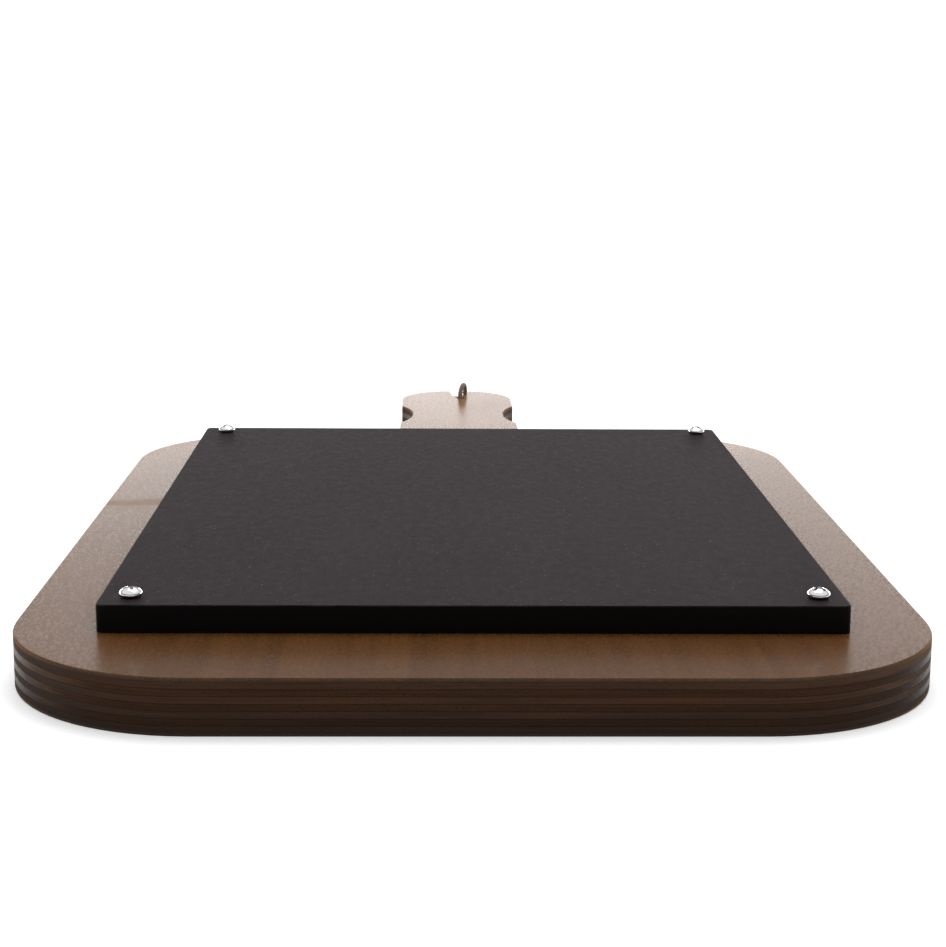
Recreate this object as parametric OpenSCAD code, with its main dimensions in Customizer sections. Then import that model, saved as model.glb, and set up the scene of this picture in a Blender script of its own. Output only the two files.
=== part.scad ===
/* [Board] */
// Width of the board across the body
board_w = 200; // [196:1:220]
// Length of the body, from the front edge to the shoulder behind the plate
body_l = 266; // [260:1:280]
// Radius of the four body corners in plan
corner_r = 42; // [20:1:50]
// Length over all, from the front edge to the end of the handle
board_l = 357.5; // [350:0.5:380]
// Width of the handle
handle_w = 40; // [38:1:50]
// Radius of the handle's two end corners in plan
handle_end_r = 18; // [8:0.5:18.5]
// Radius of the fillets where the handle grows out of the shoulder
root_r = 14; // [10:1:24]
// Rounding of the board's upper and lower arris
arris = 0.5; // [0.2:0.1:0.6]

/* [Plywood] */
// Thickness of the whole sheet
board_t = 12.2; // [11.5:0.1:13]
// Number of veneers, with the two thin faces
ply_count = 9; // [5:2:13]
// Thickness of each sanded face veneer
face_t = 0.7; // [0.5:0.1:1.2]

/* [Grips] */
// How far each finger grip is cut into the handle's side
grip_depth = 4; // [1:0.1:6]
// Length of each finger grip along the handle
grip_l = 33; // [20:1:50]
// Distance of the grips' middle from the front edge
grip_y = 306; // [300:1:325]

/* [Plate] */
// Width of the black plate
plate_w = 162.3; // [120:0.1:162.5]
// Length of the black plate
plate_l = 212; // [150:1:212]
// Thickness of the black plate
plate_t = 6.2; // [4:0.1:10]
// Margin of bare wood in front of the plate
plate_margin = 31.5; // [25:0.5:31.5]
// Radius of the plate's upright corners
plate_corner_r = 1.8; // [0.5:0.1:3]

/* [Screws] */
// Distance of each screw's axis from the plate's long edge
screw_inset_x = 6.2; // [5:0.1:10]
// Distance of each screw's axis from the plate's short edge
screw_inset_y = 7.2; // [6:0.1:10]
// Diameter of the pan head
head_d = 5.1; // [4.8:0.1:6]
// Height of the pan head at its middle
head_h = 2.3; // [2:0.1:2.6]
// Diameter over the thread
thread_d = 3; // [2.5:0.1:3]
// Length under the head
screw_l = 16; // [12:1:17]
// Clearance hole through the plate
clear_d = 3.4; // [3.4:0.1:4]

/* [Hanging cord] */
// Diameter of the cord
cord_d = 1.8; // [1.5:0.1:2]
// Hole that the cord is threaded through
cord_hole_d = 3.4; // [3.2:0.1:4]
// Distance of that hole from the end of the handle
cord_hole_back = 16; // [14:0.5:18]
// Width of the open notch at its mouth, in the end of the handle
notch_w = 6.8; // [6:0.1:8]
// Width of the notch at its round inner end
notch_inner_w = 4.6; // [4:0.1:5.5]
// How far the notch reaches in from the end
notch_l = 11.5; // [10:0.5:12]
// Width of the knot that closes the loop
knot_d = 5.2; // [5:0.1:6]

/* [Hidden] */
$fn = 64;

// Plan of the board
half_w = board_w / 2;
handle_half = handle_w / 2;
// A grip is an arc through its two ends, so its radius follows from its length and depth
grip_r = (grip_l * grip_l / 4 + grip_depth * grip_depth) / (2 * grip_depth);

// Plywood: two thin faces, and the cores share the rest
core_t = (board_t - 2 * face_t) / (ply_count - 2);
function ply_bottom(i) = i == 1 ? 0 : face_t + (i - 2) * core_t;
function ply_top(i) = i == ply_count ? board_t : face_t + (i - 1) * core_t;

// Plate and screws, measured from the front edge of the board
plate_top = board_t + plate_t;
plate_mid_y = plate_margin + plate_l / 2;
screw_x = plate_w / 2 - screw_inset_x;
// Turn of each cross recess, as the screws were left when driven home
recess_turns = [18, 43, 62, 25];
// How far each hole was drilled off its place, to the right
screw_drift = [0.5, 0.2, 0.7, 0.1];
function hole_x(i) = (i % 2 == 0 ? -1 : 1) * screw_x + screw_drift[i];
function hole_y(i) = plate_margin + (i < 2 ? screw_inset_y : plate_l - screw_inset_y);

// Screw details
// The head has a round side, and a dome that runs into that side without a crease
head_side_r = 0.75;
head_seat_r = head_d / 2 - head_side_r;
dome_r = (pow(head_seat_r, 2) + pow(head_h - head_side_r, 2) - pow(head_side_r, 2))
    / (2 * (head_h - 2 * head_side_r));
dome_z = head_h - dome_r;
dome_meets_side_z = dome_z + dome_r * (head_side_r - dome_z) / (dome_r - head_side_r);
thread_pitch = 1.1;
thread_core_d = 2.1;
tip_l = 2.6;
pilot_gap = 0.06;
recess_span = 3.3;
recess_slot = 0.72;
recess_depth = 1.35;

// Cord hole, notch and the groove underneath that joins them
cord_hole_x = 1.3;
cord_hole_y = board_l - cord_hole_back;
notch_x = 0.9;
groove_w = 3;
groove_h = 6.6;

// Middle line of the cord, from the middle of the handle's end at the height of the table:
// from the knot up and over into the hole, and back underneath
cord_route = [
    [1.6, 34.5, 2.6], [4, 34.4, 2.2], [7, 32.7, 1.3], [9.8, 29.5, 1], [10.8, 25, 1],
    [9.8, 20, 1], [7.6, 15.5, 1], [5.6, 11.5, 1.1], [4.4, 8, 1.9], [3.8, 5.2, 4],
    [3.5, 3.6, 7], [3.4, 2.1, 10.2], [3.3, -0.2, 13], [3, -3.2, 14.8], [2.7, -6.4, 15.5],
    [2.3, -9.6, 15.6], [1.8, -12.6, 15], [1.4, -14.9, 13.6], [1.3, -16, 11.4], [1.3, -16, 8.6],
    [1.3, -15.4, 6], [1.3, -13.7, 3.7], [1.2, -11, 2], [1, -7.5, 1.2], [0.3, -3, 1],
    [-0.9, 1.5, 1], [-2.7, 6.5, 1], [-5, 11.5, 1], [-7.6, 16.5, 1], [-9.4, 21.5, 1],
    [-9.6, 26.5, 1], [-7.2, 32.1, 1.3], [-4, 34.4, 2.2], [-1.6, 34.5, 2.6]
];
cord_sides = 8;
cord_steps = 2;
knot_y = 34.5;
knot_half = 1.6;

// Outline of the body with all edges drawn in by inset
module body_plan(inset) {
    x = half_w - corner_r;
    r = corner_r - inset;
    for (sx = [-1, 1])
        for (cy = [corner_r, body_l - corner_r])
            translate([sx * x, cy])
                circle(r = r, $fn = 128);
    translate([-half_w + inset, corner_r])
        square([board_w - 2 * inset, body_l - 2 * corner_r]);
    translate([-x, inset])
        square([2 * x, body_l - 2 * inset]);
}

// Outline of the handle, from inside the body to its end
module handle_plan(inset) {
    for (sx = [-1, 1])
        translate([sx * (handle_half - handle_end_r), board_l - handle_end_r])
            circle(r = handle_end_r - inset, $fn = 96);
    translate([-handle_half + inset, body_l - 10])
        square([handle_w - 2 * inset, board_l - handle_end_r - body_l + 10]);
    translate([-handle_half + handle_end_r, board_l - handle_end_r - 1])
        square([handle_w - 2 * handle_end_r, handle_end_r + 1 - inset]);
}

// The two fillets between the shoulder and the handle
module root_plan(inset) {
    difference() {
        translate([-handle_half - root_r, body_l - 5])
            square([handle_w + 2 * root_r, root_r + 5]);
        for (sx = [-1, 1])
            translate([sx * (handle_half + root_r), body_l + root_r])
                circle(r = root_r + inset, $fn = 96);
    }
}

// The grips: two shallow arcs, kept clear of the shoulders beside the handle
module grip_cuts(inset) {
    reach = grip_l + 4;
    for (sx = [-1, 1])
        intersection() {
            translate([sx * (handle_half - grip_depth + grip_r), grip_y])
                circle(r = grip_r + inset, $fn = 128);
            translate([sx * handle_half - grip_depth - 1, grip_y - reach / 2])
                square([2 * grip_depth + 2, reach]);
        }
}

// Open notch in the end of the handle, narrower and round at its inner end
module notch_plan(inset) {
    r = notch_inner_w / 2;
    inner_y = board_l - notch_l + r;
    translate([notch_x, inner_y])
        circle(r = r + inset);
    polygon([
        [notch_x - r - inset, inner_y], [notch_x + r + inset, inner_y],
        [notch_x + notch_w / 2 + inset, board_l + 0.5], [notch_x - notch_w / 2 - inset, board_l + 0.5]
    ]);
}

module board_plan(inset) {
    difference() {
        union() {
            body_plan(inset);
            handle_plan(inset);
            root_plan(inset);
        }
        grip_cuts(inset);
        notch_plan(inset);
    }
}

// Moves what is drawn from the front edge so that the footprint's middle is at the origin
module centred() {
    translate([0, -board_l / 2, 0])
        children();
}

// A slice of the board's outline between two heights
module slice(z1, z2, inset = 0) {
    translate([0, 0, z1])
        linear_extrude(height = z2 - z1)
            board_plan(inset);
}

// Every hole that crosses the veneers
module board_holes() {
    for (i = [0 : 3])
        translate([hole_x(i), hole_y(i), plate_top - screw_l - 0.4])
            cylinder(d = thread_d + 2 * pilot_gap, h = screw_l);
    translate([cord_hole_x, cord_hole_y, -1])
        cylinder(d = cord_hole_d, h = board_t + 2);
    translate([cord_hole_x - groove_w / 2, cord_hole_y, -1])
        cube([groove_w, notch_l, groove_h + 1]);
}

// One veneer; the two faces have their outer arris rounded in three fine steps
module veneer(i) {
    z1 = ply_bottom(i);
    z2 = ply_top(i);
    difference() {
        if (i == 1) {
            slice(arris, z2);
            slice(arris * 0.5, arris, arris * 0.14);
            slice(arris * 0.2, arris * 0.5, arris * 0.36);
            slice(0, arris * 0.2, arris * 0.7);
        } else if (i == ply_count) {
            slice(z1, z2 - arris);
            slice(z2 - arris, z2 - arris * 0.5, arris * 0.14);
            slice(z2 - arris * 0.5, z2 - arris * 0.2, arris * 0.36);
            slice(z2 - arris * 0.2, z2, arris * 0.7);
        } else {
            slice(z1, z2);
        }
        board_holes();
    }
}

module plate_slice(z1, z2, inset) {
    r = plate_corner_r;
    x = plate_w / 2 - r;
    y = plate_l / 2 - r;
    translate([0, plate_mid_y, z1])
        linear_extrude(height = z2 - z1) {
            for (sx = [-1, 1])
                for (sy = [-1, 1])
                    translate([sx * x, sy * y])
                        circle(r = r - inset, $fn = 48);
            square([plate_w - 2 * inset, 2 * y], center = true);
            square([2 * x, plate_l - 2 * inset], center = true);
        }
}

// Flat black plate with four clearance holes and a slightly eased upper edge
module black_plate() {
    ease = 0.25;
    color("#2b2829")
        centred()
            difference() {
                union() {
                    plate_slice(board_t, plate_top - ease, 0);
                    plate_slice(plate_top - ease, plate_top - ease / 2, ease * 0.2);
                    plate_slice(plate_top - ease / 2, plate_top, ease * 0.7);
                }
                for (i = [0 : 3])
                    translate([hole_x(i), hole_y(i), board_t - 1])
                        cylinder(d = clear_d, h = plate_t + 2);
            }
}

// Cross recess: two tapered-looking slots and a conical middle
module cross_recess() {
    for (a = [0, 90])
        rotate([0, 0, a])
            translate([-recess_span / 2, -recess_slot / 2, head_h - recess_depth])
                cube([recess_span, recess_slot, recess_depth + 1]);
    translate([0, 0, head_h - recess_depth - 0.35])
        cylinder(d1 = 0.5, d2 = 1.7, h = recess_depth + 0.36);
}

// Threaded shank as one turned profile, with its point at the bottom
function thread_profile() =
    let (turns = floor((screw_l - tip_l - 1) / thread_pitch))
    concat(
        [[0, -screw_l], [0.25, -screw_l + 0.1], [thread_core_d / 2, -screw_l + tip_l]],
        [for (k = [0 : turns - 1])
            let (z = -screw_l + tip_l + k * thread_pitch)
            for (p = [[thread_core_d / 2, 0.3], [thread_d / 2, 0.5], [thread_d / 2, 0.6],
                      [thread_core_d / 2, 0.8]])
                [p[0], z + p[1] * thread_pitch]],
        [[thread_core_d / 2, -0.4], [thread_d / 2, 0], [thread_d / 2, 0.2], [0, 0.2]]
    );

// Pan head without its recess
module screw_head() {
    rotate_extrude($fn = 48)
        translate([head_seat_r, head_side_r])
            circle(r = head_side_r, $fn = 32);
    cylinder(r = head_seat_r, h = dome_meets_side_z);
    intersection() {
        translate([0, 0, dome_z])
            sphere(r = dome_r, $fn = 64);
        translate([0, 0, dome_meets_side_z])
            cylinder(r = head_d, h = head_h);
    }
}

module screw(turn) {
    color("#d8dade")
        rotate([0, 0, turn])
            difference() {
                union() {
                    rotate_extrude($fn = 48)
                        polygon(thread_profile());
                    screw_head();
                }
                cross_recess();
            }
}

module screw_at(i) {
    centred()
        translate([hole_x(i), hole_y(i), plate_top])
            screw(recess_turns[i]);
}

// A point on a smooth curve through the route, between point i and point i + 1
function at(i) = cord_route[max(0, min(len(cord_route) - 1, i))];
function smooth(i, t) =
    0.5 * (2 * at(i) + t * (at(i + 1) - at(i - 1))
        + t * t * (2 * at(i - 1) - 5 * at(i) + 4 * at(i + 1) - at(i + 2))
        + t * t * t * (3 * at(i) - at(i - 1) - 3 * at(i + 1) + at(i + 2)));
cord_line = concat(
    [for (i = [0 : len(cord_route) - 2]) for (k = [0 : cord_steps - 1]) smooth(i, k / cord_steps)],
    [cord_route[len(cord_route) - 1]]
);

function unit(v) = v / norm(v);
function tangent(i) =
    i == 0 || i == len(cord_line) - 1 ? [1, 0, 0] : unit(cord_line[i + 1] - cord_line[i - 1]);
// Carries the first ring's side direction along the line without twist
function side_at(i) =
    i == 0 ? [0, 0, 1] : let (s = side_at(i - 1), t = tangent(i)) unit(s - (s * t) * t);

module cord_tube() {
    n = cord_sides;
    last = len(cord_line) - 1;
    points = [
        for (i = [0 : last])
            let (t = tangent(i), u = side_at(i), v = cross(t, u))
            for (k = [0 : n - 1])
                cord_line[i] + cord_d / 2 * (cos(360 * k / n) * u + sin(360 * k / n) * v)
    ];
    walls = [
        for (i = [0 : last - 1])
            for (k = [0 : n - 1])
                let (a = i * n + k, b = i * n + (k + 1) % n)
                for (f = [[a, b, b + n], [a, b + n, a + n]]) f
    ];
    caps = [[for (k = [0 : n - 1]) n - 1 - k], [for (k = [0 : n - 1]) last * n + k]];
    polyhedron(points, concat(walls, caps), convexity = 8);
}

module hanging_cord() {
    color("#7a5a3c")
        translate([0, board_l / 2, 0])
            cord_tube();
}

// Overhand knot that joins the two ends of the loop
module cord_knot() {
    r = knot_d / 2;
    color("#7a5a3c")
        translate([0, board_l / 2 + knot_y, r])
            rotate([0, 90, 0])
                intersection() {
                    cylinder(r = r, h = 2 * knot_half, center = true);
                    sphere(r = r);
                }
}

module ply(i) {
    color(i % 2 == 1 ? "#5a3d28" : "#46301f")
        centred()
            veneer(i);
}

ply(1);  // bottom_face_veneer
ply(2);  // ply_2
ply(3);  // ply_3
ply(4);  // ply_4
ply(5);  // ply_5
ply(6);  // ply_6
ply(7);  // ply_7
ply(8);  // ply_8
ply(9);  // top_face_veneer
black_plate();
screw_at(0);  // screw_front_left
screw_at(1);  // screw_front_right
screw_at(2);  // screw_rear_left
screw_at(3);  // screw_rear_right
hanging_cord();
cord_knot();
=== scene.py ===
"""Looks of the handled plywood board: camera, light, floor, cord and materials round the CAD frame."""
import math

import bpy
import numpy as np
from mathutils import Matrix, Vector


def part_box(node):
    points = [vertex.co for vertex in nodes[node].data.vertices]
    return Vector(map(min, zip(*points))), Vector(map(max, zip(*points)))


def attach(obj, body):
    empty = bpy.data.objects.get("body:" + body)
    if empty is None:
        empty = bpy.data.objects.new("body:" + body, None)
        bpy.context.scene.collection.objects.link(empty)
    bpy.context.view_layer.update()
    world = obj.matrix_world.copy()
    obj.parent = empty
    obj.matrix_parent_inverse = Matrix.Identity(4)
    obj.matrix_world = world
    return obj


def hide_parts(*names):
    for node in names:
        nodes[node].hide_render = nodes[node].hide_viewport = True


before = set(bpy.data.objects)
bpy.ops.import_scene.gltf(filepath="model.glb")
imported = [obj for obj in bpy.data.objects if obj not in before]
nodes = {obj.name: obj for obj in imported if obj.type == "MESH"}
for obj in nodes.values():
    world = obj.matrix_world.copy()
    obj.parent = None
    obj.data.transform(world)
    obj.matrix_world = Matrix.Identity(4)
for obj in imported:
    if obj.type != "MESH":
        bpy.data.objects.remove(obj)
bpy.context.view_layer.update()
MM = 0.001

# ---------------------------------------------------------------- camera

LONG_SIDE_PX = 947
FOCAL_PX = 1921.15
CAMERA_POS = Vector((-0.00964, -0.54378, 0.12893))
CAMERA_DOWN_DEG = 11.632
CAMERA_RIGHT_DEG = 1.293
CAMERA_ROLL_DEG = 0.441


def make_camera():
    data = bpy.data.cameras.new("camera")
    data.sensor_width = 36
    data.lens = FOCAL_PX / LONG_SIDE_PX * data.sensor_width
    data.clip_start = 0.01
    camera = bpy.data.objects.new("camera", data)
    bpy.context.scene.collection.objects.link(camera)
    down = math.radians(CAMERA_DOWN_DEG)
    right = math.radians(CAMERA_RIGHT_DEG)
    roll = math.radians(CAMERA_ROLL_DEG)
    forward = Vector((math.sin(right) * math.cos(down), math.cos(right) * math.cos(down), -math.sin(down)))
    side = Vector((math.cos(right), -math.sin(right), 0))
    up = side.cross(forward)
    rolled_side = side * math.cos(roll) + up * math.sin(roll)
    rolled_up = up * math.cos(roll) - side * math.sin(roll)
    turn = Matrix((rolled_side, rolled_up, -forward)).transposed().to_4x4()
    camera.matrix_world = Matrix.Translation(CAMERA_POS) @ turn
    bpy.context.scene.camera = camera


make_camera()

# ---------------------------------------------------------------- the hanging cord

# The route of part.scad, in millimetres from the middle of the handle's end
CORD_ROUTE = [
    (1.6, 34.5, 2.6), (4, 34.4, 2.2), (7, 32.7, 1.3), (9.8, 29.5, 1), (10.8, 25, 1),
    (9.8, 20, 1), (7.6, 15.5, 1), (5.6, 11.5, 1.1), (4.4, 8, 1.9), (3.8, 5.2, 4),
    (3.5, 3.6, 7), (3.4, 2.1, 10.2), (3.3, -0.2, 13), (3, -3.2, 14.8), (2.7, -6.4, 15.5),
    (2.3, -9.6, 15.6), (1.8, -12.6, 15), (1.4, -14.9, 13.6), (1.3, -16, 11.4), (1.3, -16, 8.6),
    (1.3, -15.4, 6), (1.3, -13.7, 3.7), (1.2, -11, 2), (1, -7.5, 1.2), (0.3, -3, 1),
    (-0.9, 1.5, 1), (-2.7, 6.5, 1), (-5, 11.5, 1), (-7.6, 16.5, 1), (-9.4, 21.5, 1),
    (-9.6, 26.5, 1), (-7.2, 32.1, 1.3), (-4, 34.4, 2.2), (-1.6, 34.5, 2.6),
]
STRAND_R = 0.47 * MM
STRAND_TURN_R = 0.43 * MM
LAY_LENGTH = 5 * MM
STRAND_SIDES = 8
STEPS_PER_POINT = 12
KNOT_REACH = 0.55 * MM
KNOT_THROUGH = 0.9 * MM
KNOT_STRAND_R = 0.85 * MM
KNOT_POINTS = 96
KNOT_SIDES = 12


def smooth_line(points, steps):
    """Catmull-Rom curve through the points, as part.scad draws it."""
    p = np.array(points, float)
    p = np.vstack([p[0], p, p[-1]])
    out = []
    for i in range(1, len(p) - 2):
        a, b, c, d = p[i - 1], p[i], p[i + 1], p[i + 2]
        for k in range(steps):
            t = k / steps
            out.append(0.5 * (2 * b + t * (c - a) + t * t * (2 * a - 5 * b + 4 * c - d)
                              + t ** 3 * (3 * b - a - 3 * c + d)))
    out.append(p[-2])
    return np.array(out)


def sides_along(line):
    """Tangents and two side directions at each point, carried along the line without twist."""
    tangents = np.gradient(line, axis=0)
    tangents /= np.linalg.norm(tangents, axis=1)[:, None]
    side = np.cross(tangents[0], (0.0, 0.0, 1.0))
    if np.linalg.norm(side) < 0.1:
        side = np.cross(tangents[0], (0.0, 1.0, 0.0))
    sides = []
    for t in tangents:
        side = side - t * side.dot(t)
        side /= np.linalg.norm(side)
        sides.append(side)
    sides = np.array(sides)
    return tangents, sides, np.cross(tangents, sides)


def tube(line, radius, sides, closed=False):
    """Vertices and faces of a tube along a line."""
    _, u, v = sides_along(line)
    angles = 2 * math.pi * np.arange(sides) / sides
    rings = line[:, None] + radius * (np.cos(angles)[None, :, None] * u[:, None]
                                      + np.sin(angles)[None, :, None] * v[:, None])
    count = len(line)
    faces = []
    for i in range(count if closed else count - 1):
        j = (i + 1) % count
        for k in range(sides):
            n = (k + 1) % sides
            faces.append((i * sides + k, i * sides + n, j * sides + n, j * sides + k))
    if not closed:
        faces.append(tuple(range(sides))[::-1])
        faces.append(tuple((count - 1) * sides + k for k in range(sides)))
    return rings.reshape(-1, 3), faces


def mesh_object(name, vertices, faces, material):
    mesh = bpy.data.meshes.new(name)
    mesh.from_pydata([tuple(v) for v in vertices], [], faces)
    mesh.validate()
    mesh.polygons.foreach_set("use_smooth", [True] * len(mesh.polygons))
    mesh.materials.append(material)
    thing = bpy.data.objects.new(name, mesh)
    bpy.context.scene.collection.objects.link(thing)
    return thing


def joined(parts):
    vertices, faces, start = [], [], 0
    for v, f in parts:
        vertices.append(v)
        faces += [tuple(i + start for i in face) for face in f]
        start += len(v)
    return np.vstack(vertices), faces


def twisted(line, strands=3):
    """Strands laid round a line like a rope."""
    _, u, v = sides_along(line)
    run = np.concatenate([[0], np.cumsum(np.linalg.norm(np.diff(line, axis=0), axis=1))])
    parts = []
    for s in range(strands):
        a = 2 * math.pi * (run / LAY_LENGTH + s / strands)
        middle = line + STRAND_TURN_R * (np.cos(a)[:, None] * u + np.sin(a)[:, None] * v)
        parts.append(tube(middle, STRAND_R, STRAND_SIDES))
    return joined(parts)


# ---------------------------------------------------------------- node helpers


class Tree:
    """Short calls for building a material's nodes."""

    def __init__(self, name):
        self.material = bpy.data.materials.new(name)
        self.material.use_nodes = True
        self.tree = self.material.node_tree
        self.tree.nodes.clear()
        self.shader = self.add("ShaderNodeBsdfPrincipled")
        output = self.add("ShaderNodeOutputMaterial")
        self.link(self.shader.outputs[0], output.inputs["Surface"])
        self.place = self.add("ShaderNodeTexCoord").outputs["Object"]
        self.normal = self.add("ShaderNodeNewGeometry").outputs["Normal"]

    def add(self, kind):
        return self.tree.nodes.new(kind)

    def link(self, a, b):
        self.tree.links.new(a, b)

    def feed(self, socket, value):
        if isinstance(value, bpy.types.NodeSocket):
            self.link(value, socket)
        else:
            socket.default_value = value

    def stretched(self, sx, sy, sz, shift=(0, 0, 0)):
        """Object coordinates, in metres, times a factor on each axis."""
        node = self.add("ShaderNodeMapping")
        self.link(self.place, node.inputs["Vector"])
        node.inputs["Scale"].default_value = (sx, sy, sz)
        node.inputs["Location"].default_value = shift
        return node.outputs[0]

    def noise(self, vector, detail=2.0, roughness=0.5):
        node = self.add("ShaderNodeTexNoise")
        self.link(vector, node.inputs["Vector"])
        node.inputs["Scale"].default_value = 1.0
        node.inputs["Detail"].default_value = detail
        node.inputs["Roughness"].default_value = roughness
        return node.outputs["Fac"]

    def cells(self, vector):
        node = self.add("ShaderNodeTexVoronoi")
        self.link(vector, node.inputs["Vector"])
        node.inputs["Scale"].default_value = 1.0
        return node.outputs["Distance"], node.outputs["Color"]

    def math(self, operation, a, b):
        node = self.add("ShaderNodeMath")
        node.operation = operation
        self.feed(node.inputs[0], a)
        self.feed(node.inputs[1], b)
        return node.outputs[0]

    def span(self, value, low, high, to_low=0.0, to_high=1.0):
        """Maps low..high of a value to to_low..to_high, smoothly and clamped."""
        node = self.add("ShaderNodeMapRange")
        node.interpolation_type = "SMOOTHSTEP"
        self.feed(node.inputs["Value"], value)
        for key, number in zip(("From Min", "From Max", "To Min", "To Max"), (low, high, to_low, to_high)):
            self.feed(node.inputs[key], number)
        return node.outputs["Result"]

    def mix(self, factor, a, b):
        node = self.add("ShaderNodeMix")
        node.data_type = "RGBA"
        self.feed(node.inputs[0], factor)
        self.feed(node.inputs[6], a if isinstance(a, bpy.types.NodeSocket) else (*a, 1))
        self.feed(node.inputs[7], b if isinstance(b, bpy.types.NodeSocket) else (*b, 1))
        return node.outputs[2]

    def bump(self, height, distance, strength=1.0):
        node = self.add("ShaderNodeBump")
        node.inputs["Strength"].default_value = strength
        node.inputs["Distance"].default_value = distance
        self.link(height, node.inputs["Height"])
        return node.outputs[0]

    def xyz(self, vector):
        node = self.add("ShaderNodeSeparateXYZ")
        self.link(vector, node.inputs[0])
        return node.outputs

    def finish(self, color, roughness, normal=None, **numbers):
        self.feed(self.shader.inputs["Base Color"], color)
        self.feed(self.shader.inputs["Roughness"], roughness)
        if normal is not None:
            self.link(normal, self.shader.inputs["Normal"])
        for key, number in numbers.items():
            self.shader.inputs[key.replace("_", " ")].default_value = number
        return self.material


# ---------------------------------------------------------------- materials

BOARD_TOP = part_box("top_face_veneer")[1].z
PLATE_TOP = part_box("black_plate")[1].z
RUBBED_BAND_Y = -14.5 * MM
BAND_WOBBLE = 9 * MM


def face_veneer_material():
    """Walnut-stained birch veneer: fine grain along the board, a rubbed patch, a worn arris with a painted
    highlight, and painted shade low on the edge.
    """
    t = Tree("stained_face_veneer")
    x, y, z = t.xyz(t.place)
    nx, ny, nz = t.xyz(t.normal)
    cloud = t.noise(t.stretched(16, 9, 16), detail=4, roughness=0.6)
    streak = t.noise(t.stretched(260, 9, 40), detail=4, roughness=0.6)
    fibre = t.noise(t.stretched(2600, 420, 900), detail=3, roughness=0.7)
    sand = t.noise(t.stretched(3300, 1100, 3300, (5, 2, 0)), detail=2, roughness=0.7)
    pore = t.noise(t.stretched(3000, 300, 900, (3, 7, 1)), detail=1.5, roughness=0.5)
    pore_mask = t.span(pore, 0.58, 0.7)
    base = t.mix(t.span(streak, 0.3, 0.7), (0.056, 0.0195, 0.0055), (0.128, 0.051, 0.0155))
    mottle = t.noise(t.stretched(1900, 640, 1900, (1, 4, 0)), detail=2.5, roughness=0.6)
    base = t.mix(t.span(cloud, 0.35, 0.7, 0.0, 0.55), base, (0.06, 0.021, 0.0065))
    base = t.mix(t.span(mottle, 0.36, 0.64, 0.75, 0.0), base, (0.03, 0.011, 0.004))
    base = t.mix(t.span(fibre, 0.4, 0.75, 0.0, 0.5), base, (0.13, 0.062, 0.025))
    base = t.mix(t.span(sand, 0.5, 0.75, 0.0, 0.35), base, (0.16, 0.075, 0.028))
    base = t.mix(t.math("MULTIPLY", pore_mask, 0.25), base, (0.02, 0.0085, 0.004))
    # A rubbed band across the left margin, where the finish is duller and browner
    wobble = t.math("MULTIPLY", t.noise(t.stretched(90, 90, 90), detail=3), BAND_WOBBLE)
    off_band = t.math("SUBTRACT", t.math("ADD", y, wobble), RUBBED_BAND_Y)
    near_band = t.span(t.math("ABSOLUTE", off_band, 0.0), 0.5 * MM, 8 * MM, 1.0, 0.0)
    band = t.math("MULTIPLY", near_band, t.span(x, -86 * MM, -70 * MM, 1.0, 0.0))
    base = t.mix(t.math("MULTIPLY", band, 0.5), base, (0.15, 0.062, 0.022))
    # The arris is sanded through the stain here and there, and it is also painted lighter in patches as a
    # painted highlight where light catches it
    upright = t.span(t.math("ABSOLUTE", nz, 0.0), 0.35, 0.9, 1.0, 0.0)
    rim = t.span(z, BOARD_TOP - 0.3 * MM, BOARD_TOP - 0.12 * MM)
    patchy = t.span(t.noise(t.stretched(120, 120, 40), detail=3), 0.35, 0.62, 0.15, 0.9)
    base = t.mix(t.math("MULTIPLY", t.math("MULTIPLY", upright, rim), patchy), base, (0.12, 0.058, 0.026))
    under_rim = t.span(z, BOARD_TOP - 0.5 * MM, BOARD_TOP - 0.25 * MM, 0.85, 0.0)
    base = t.mix(t.math("MULTIPLY", upright, under_rim), base, (0.022, 0.011, 0.006))
    # Painted shade: the upright edge is painted darker at the bottom, next to the floor
    painted_foot_shade = t.span(z, 0.05 * BOARD_TOP, 0.2 * BOARD_TOP, 0.85, 0.0)
    base = t.mix(t.math("MULTIPLY", upright, painted_foot_shade), base, (0.016, 0.008, 0.0045))
    rough = t.math("ADD", t.span(sand, 0.3, 0.8, 0.15, 0.24), t.span(cloud, 0.35, 0.7, 0.0, 0.05))
    rough = t.math("ADD", rough, t.math("MULTIPLY", band, 0.18))
    height = t.math("SUBTRACT", t.math("MULTIPLY", sand, 0.5), pore_mask)
    rough = t.math("ADD", rough, t.span(mottle, 0.36, 0.64, 0.11, 0.0))
    rough = t.math("MAXIMUM", rough, t.math("MULTIPLY", upright, 0.8))
    return t.finish(base, rough, t.bump(height, 0.004 * MM, 0.4), Specular_IOR_Level=0.5,
                    Sheen_Weight=0.44, Sheen_Roughness=0.4, Sheen_Tint=(1, 0.43, 0.08, 1))


PLY_STAIN = [(0.028, 0.0115, 0.0045), (0.054, 0.0225, 0.009)]


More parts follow.
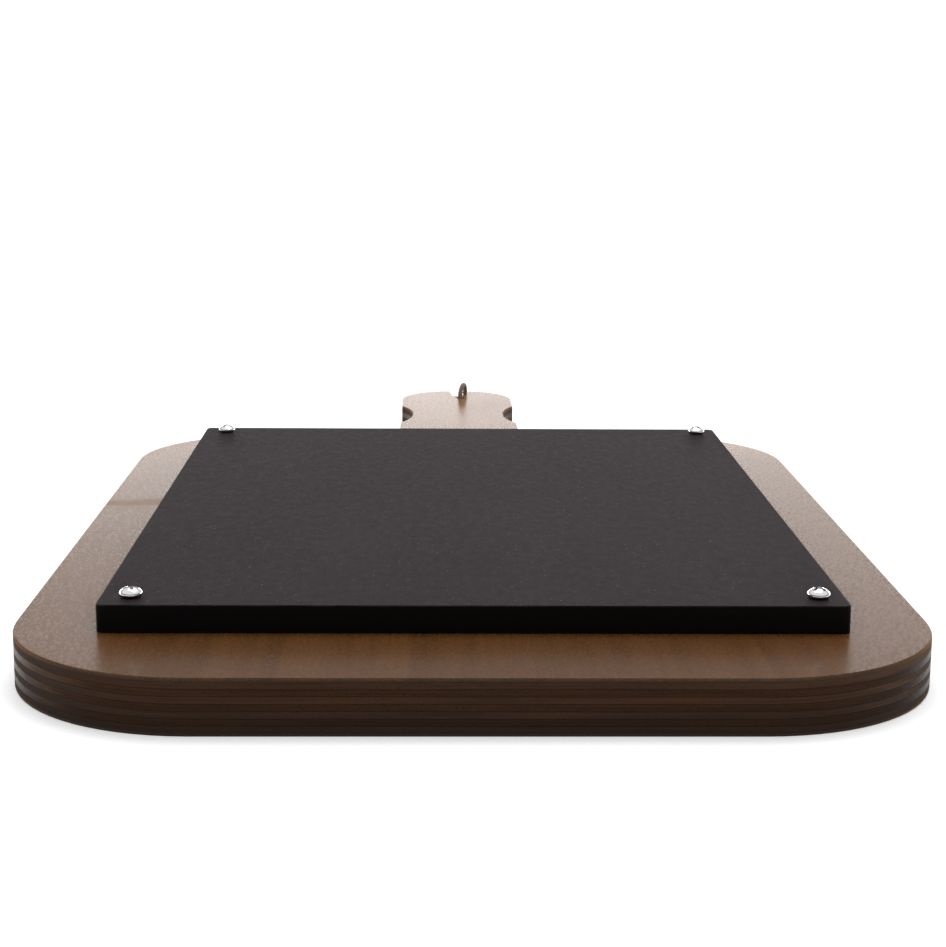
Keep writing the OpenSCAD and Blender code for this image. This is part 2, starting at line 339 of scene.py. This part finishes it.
def ply_material(name, low, high, along, seed):
    """One core veneer on the sanded edge. along is 1 for fibres along the board and -1 for across."""
    t = Tree(name)
    x, y, z = t.xyz(t.place)
    nx, ny, nz = t.xyz(t.normal)
    # Leaning fibres make one side of a corner catch the light: it is painted lighter as a painted sheen, and
    # the other side darker as painted shade
    sheen_side = t.math("MULTIPLY", t.math("MULTIPLY", nx, ny), 2.0 * along)
    ends = t.span(t.math("ABSOLUTE", ny if along > 0 else nx, 0.0), 0.35, 0.95)
    line = t.noise(t.stretched(34, 34, 3600, (seed, 0, 0)), detail=4, roughness=0.65)
    wave = t.noise(t.stretched(26, 26, 420, (seed, 3, 0)), detail=3, roughness=0.6)
    patch = t.noise(t.stretched(60, 60, 600, (seed, 5, 1)), detail=3, roughness=0.6)
    speck = t.noise(t.stretched(1500, 1500, 2600, (0, seed, 0)), detail=2, roughness=0.6)
    base = t.mix(t.span(line, 0.3, 0.7), *PLY_STAIN)
    base = t.mix(t.span(wave, 0.45, 0.75, 0.0, 0.4), base, (0.078, 0.035, 0.015))
    base = t.mix(t.math("MULTIPLY", ends, 0.3), base, (0.026, 0.0125, 0.0065))
    base = t.mix(t.span(speck, 0.56, 0.7, 0.0, 0.55), base, (0.014, 0.0075, 0.0045))
    turned = t.span(t.math("ABSOLUTE", nx, 0.0), 0.3, 0.85)
    # Painted sheen on the side that catches the light
    painted_sheen = t.math("MULTIPLY", t.span(patch, 0.38, 0.62, 0.1, 0.8), turned)
    base = t.mix(t.math("MULTIPLY", t.span(sheen_side, 0.1, 0.8), painted_sheen), base, (0.088, 0.044, 0.021))
    # Painted shade on the side turned away
    painted_side_shade = t.math("MULTIPLY", t.span(sheen_side, -0.9, -0.1, 0.4, 0.0), turned)
    base = t.mix(painted_side_shade, base, (0.016, 0.008, 0.0045))
    # The lower half of the edge is darker, in a broad soft band
    depth = t.span(z, 0.12 * BOARD_TOP, 0.7 * BOARD_TOP, 0.62, 0.0)
    base = t.mix(depth, base, (0.017, 0.009, 0.0055))
    # Thin dark glue lines at the veneer's two faces, a little uneven
    uneven = t.math("MULTIPLY", t.noise(t.stretched(150, 150, 60, (0, 0, seed)), detail=3), 0.14 * MM)
    to_face = t.math("MINIMUM", t.math("SUBTRACT", z, low), t.math("SUBTRACT", high, z))
    glue = t.span(t.math("SUBTRACT", to_face, uneven), -0.02 * MM, 0.06 * MM, 1.0, 0.0)
    base = t.mix(t.math("MULTIPLY", glue, 0.7), base, (0.01, 0.0055, 0.0035))
    height = t.math("SUBTRACT", t.math("MULTIPLY", line, 0.6), glue)
    rough = t.math("ADD", t.math("MULTIPLY", ends, 0.36), t.span(speck, 0.3, 0.7, 0.28, 0.42))
    return t.finish(base, rough, t.bump(height, 0.04 * MM, 0.5), Specular_IOR_Level=0.08)


def plate_material():
    """Matt black sheet with a fine tooth, painted pale glints on its face, painted shade on its sides and a
    rubbed upper edge.
    """
    t = Tree("matt_black_sheet")
    x, y, z = t.xyz(t.place)
    nx, ny, nz = t.xyz(t.normal)
    tooth = t.noise(t.stretched(2600, 2600, 2600), detail=2, roughness=0.6)
    haze = t.noise(t.stretched(24, 9, 24), detail=4, roughness=0.6)
    mottle = t.noise(t.stretched(480, 260, 480), detail=3, roughness=0.6)
    base = t.mix(t.span(haze, 0.35, 0.7), (0.01, 0.0042, 0.0055), (0.0138, 0.0064, 0.0078))
    # Painted shade: the upright sides are painted darker than the face
    faces_up = t.span(nz, 0.5, 0.9)
    base = t.mix(faces_up, (0.0045, 0.0028, 0.003), base)
    # Painted glints: sparse pale specks on the face stand in for grit catching the light
    distance, colour = t.cells(t.stretched(900, 700, 900))
    red, green, blue = t.xyz(colour)
    chosen = t.span(red, 0.6, 0.68)
    size = t.span(green, 0.0, 1.0, 0.05, 0.3)
    painted_glint = t.math("MULTIPLY", chosen, t.span(distance, t.math("MULTIPLY", size, 0.4), size, 1.0, 0.0))
    painted_glint = t.math("MULTIPLY", painted_glint, t.span(blue, 0.2, 1.0, 0.08, 0.6))
    base = t.mix(t.math("MULTIPLY", painted_glint, faces_up), base, (0.17, 0.155, 0.15))
    edge = t.math("MULTIPLY", t.span(z, PLATE_TOP - 0.35 * MM, PLATE_TOP - 0.1 * MM),
                  t.span(nz, 0.2, 0.95, 1.0, 0.0))
    rubbed = t.span(t.noise(t.stretched(150, 150, 150), detail=3), 0.35, 0.65, 0.1, 0.8)
    base = t.mix(t.math("MULTIPLY", edge, rubbed), base, (0.034, 0.03, 0.03))
    rough = t.math("ADD", t.span(tooth, 0.3, 0.7, 0.62, 0.74), t.span(mottle, 0.3, 0.7, -0.03, 0.03))
    return t.finish(base, rough, t.bump(tooth, 0.03 * MM, 0.6), Specular_IOR_Level=0.09)


def screw_material():
    """Bright nickel plate with faint handling marks."""
    t = Tree("bright_nickel")
    mark = t.noise(t.stretched(900, 900, 900), detail=4, roughness=0.7)
    base = t.mix(t.span(mark, 0.4, 0.75), (0.95, 0.95, 0.945), (0.82, 0.82, 0.83))
    rough = t.span(mark, 0.35, 0.75, 0.1, 0.22)
    return t.finish(base, rough, t.bump(mark, 0.02 * MM, 0.3), Metallic=1.0)


def cord_material():
    """Brown twisted cord with fine fibres."""
    t = Tree("brown_cord")
    fibre = t.noise(t.stretched(5200, 5200, 5200), detail=3, roughness=0.7)
    tint = t.noise(t.stretched(300, 300, 300), detail=2)
    base = t.mix(t.span(fibre, 0.3, 0.7), (0.1, 0.066, 0.038), (0.24, 0.17, 0.11))
    base = t.mix(t.span(tint, 0.4, 0.7, 0.0, 0.35), base, (0.28, 0.2, 0.13))
    return t.finish(base, t.span(fibre, 0.3, 0.7, 0.65, 0.85), t.bump(fibre, 0.05 * MM, 0.7),
                    Specular_IOR_Level=0.3, Sheen_Weight=0.25)


cord_look = cord_material()


def make_cord():
    end = Vector((0, cad_handle_end(), 0))
    line = smooth_line(CORD_ROUTE, STEPS_PER_POINT) * MM + np.array(end)
    piece = mesh_object("cord_strands", *twisted(line), cord_look)
    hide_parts("hanging_cord")
    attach(piece, "root")
    length = float(np.linalg.norm(np.diff(line, axis=0), axis=1).sum())
    return piece, line, length


def cad_handle_end():
    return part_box("top_face_veneer")[1].y


def make_knot():
    """A trefoil of the same cord, drawn up tight."""
    low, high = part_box("cord_knot")
    middle = (low + high) / 2
    t = np.linspace(0, 2 * math.pi, KNOT_POINTS, endpoint=False)
    across = np.sin(t) + 2 * np.sin(2 * t)
    upward = np.cos(t) - 2 * np.cos(2 * t)
    through = -np.sin(3 * t)
    line = np.stack([through * KNOT_THROUGH, across * KNOT_REACH, upward * KNOT_REACH], 1) + np.array(middle)
    loop = tube(line, KNOT_STRAND_R, KNOT_SIDES, closed=True)
    piece = mesh_object("cord_overhand_knot", *loop, cord_look)
    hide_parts("cord_knot")
    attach(piece, "root")
    return piece


cord, cord_line, cord_length = make_cord()
knot = make_knot()

# ---------------------------------------------------------------- materials on the CAD nodes


def wear(name, material):
    """Gives a CAD node its material."""
    mesh = nodes[name].data
    mesh.materials.clear()
    mesh.materials.append(material)


veneer_look = face_veneer_material()
wear("top_face_veneer", veneer_look)
wear("bottom_face_veneer", veneer_look)
for number in range(2, 9):
    ply = f"ply_{number}"
    ply_low, ply_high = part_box(ply)
    wear(ply, ply_material(f"stained_{ply}", ply_low.z, ply_high.z, 1 if number % 2 else -1, 2.7 * number))
wear("black_plate", plate_material())
screw_look = screw_material()
for name in nodes:
    if name.startswith("screw_"):
        wear(name, screw_look)

# ---------------------------------------------------------------- floor and light

BACKDROP = 1.15
SKY = 0.95
LOW_SKY = 0.32
ROOM_DIM = 0.22
LOW_GLOW = 9.4
FLOOR_REACH = 12.0
FLOOR_GLOW = 0.4
SOFTBOX_PLACE = (0.1, 0.35, 1.3)
SOFTBOX_SIZE = (1.0, 0.8)
SOFTBOX_POWER = 9.0


def floor_material():
    t = Tree("pale_floor")
    soft = t.noise(t.stretched(6, 6, 6), detail=2)
    t.shader.inputs["Emission Color"].default_value = (1, 1, 1, 1)
    return t.finish(t.mix(soft, (0.86, 0.86, 0.86), (0.9, 0.9, 0.9)), 0.9, Specular_IOR_Level=0.1,
                    Emission_Strength=FLOOR_GLOW)


def make_floor():
    r = FLOOR_REACH
    corners = [(-r, -r, 0), (r, -r, 0), (r, r, 0), (-r, r, 0)]
    floor = mesh_object("floor", corners, [(0, 1, 2, 3)], floor_material())


def make_world():
    """A bright backdrop low behind the object, an even ceiling, and a dim room on the near side."""
    world = bpy.data.worlds.new("studio")
    bpy.context.scene.world = world
    world.use_nodes = True
    tree = world.node_tree
    tree.nodes.clear()
    add = tree.nodes.new
    output = add("ShaderNodeOutputWorld")
    background = add("ShaderNodeBackground")
    backdrop = add("ShaderNodeBackground")
    backdrop.inputs["Strength"].default_value = BACKDROP
    backdrop.inputs["Color"].default_value = (1, 1, 1, 1)
    mix = add("ShaderNodeMixShader")
    rays = add("ShaderNodeLightPath")
    place = add("ShaderNodeTexCoord")
    split = add("ShaderNodeSeparateXYZ")
    tree.links.new(place.outputs["Generated"], split.inputs[0])

    def span(value, low, high, to_low, to_high, ease="SMOOTHSTEP"):
        node = add("ShaderNodeMapRange")
        node.interpolation_type = ease
        tree.links.new(value, node.inputs["Value"])
        for key, number in zip(("From Min", "From Max", "To Min", "To Max"), (low, high, to_low, to_high)):
            node.inputs[key].default_value = number
        return node.outputs["Result"]

    def combine(operation, a, b):
        node = add("ShaderNodeMath")
        node.operation = operation
        for socket, value in zip(node.inputs, (a, b)):
            if isinstance(value, bpy.types.NodeSocket):
                tree.links.new(value, socket)
            else:
                socket.default_value = value
        return node.outputs[0]

    toward = span(split.outputs["Y"], -0.55, 0.5, ROOM_DIM, 1.0)
    height = span(split.outputs["Z"], 0.1, 0.6, 0.0, 1.0)
    strength = span(split.outputs["Z"], 0.25, 0.7, LOW_SKY, SKY)
    even = combine("MULTIPLY", combine("MAXIMUM", toward, height), strength)
    low_glow = combine("MULTIPLY", span(split.outputs["Z"], 0.05, 0.2, LOW_GLOW, 0.0, "LINEAR"),
                       span(split.outputs["Y"], 0.2, 0.8, 0.0, 1.0))
    tree.links.new(combine("ADD", even, low_glow), background.inputs["Strength"])
    tree.links.new(rays.outputs["Is Camera Ray"], mix.inputs[0])
    tree.links.new(background.outputs[0], mix.inputs[1])
    tree.links.new(backdrop.outputs[0], mix.inputs[2])
    tree.links.new(mix.outputs[0], output.inputs["Surface"])


def make_lamp(name, place, size, power):
    data = bpy.data.lights.new(name, "AREA")
    data.shape = "RECTANGLE"
    data.size, data.size_y = size
    data.energy = power
    lamp = bpy.data.objects.new(name, data)
    bpy.context.scene.collection.objects.link(lamp)
    lamp.location = place
    lamp.rotation_mode = "QUATERNION"
    lamp.rotation_quaternion = (-Vector(place)).to_track_quat("-Z", "Y")


make_floor()
make_world()
make_lamp("overhead_softbox", SOFTBOX_PLACE, SOFTBOX_SIZE, SOFTBOX_POWER)
bpy.context.scene.view_settings.view_transform = "Standard"
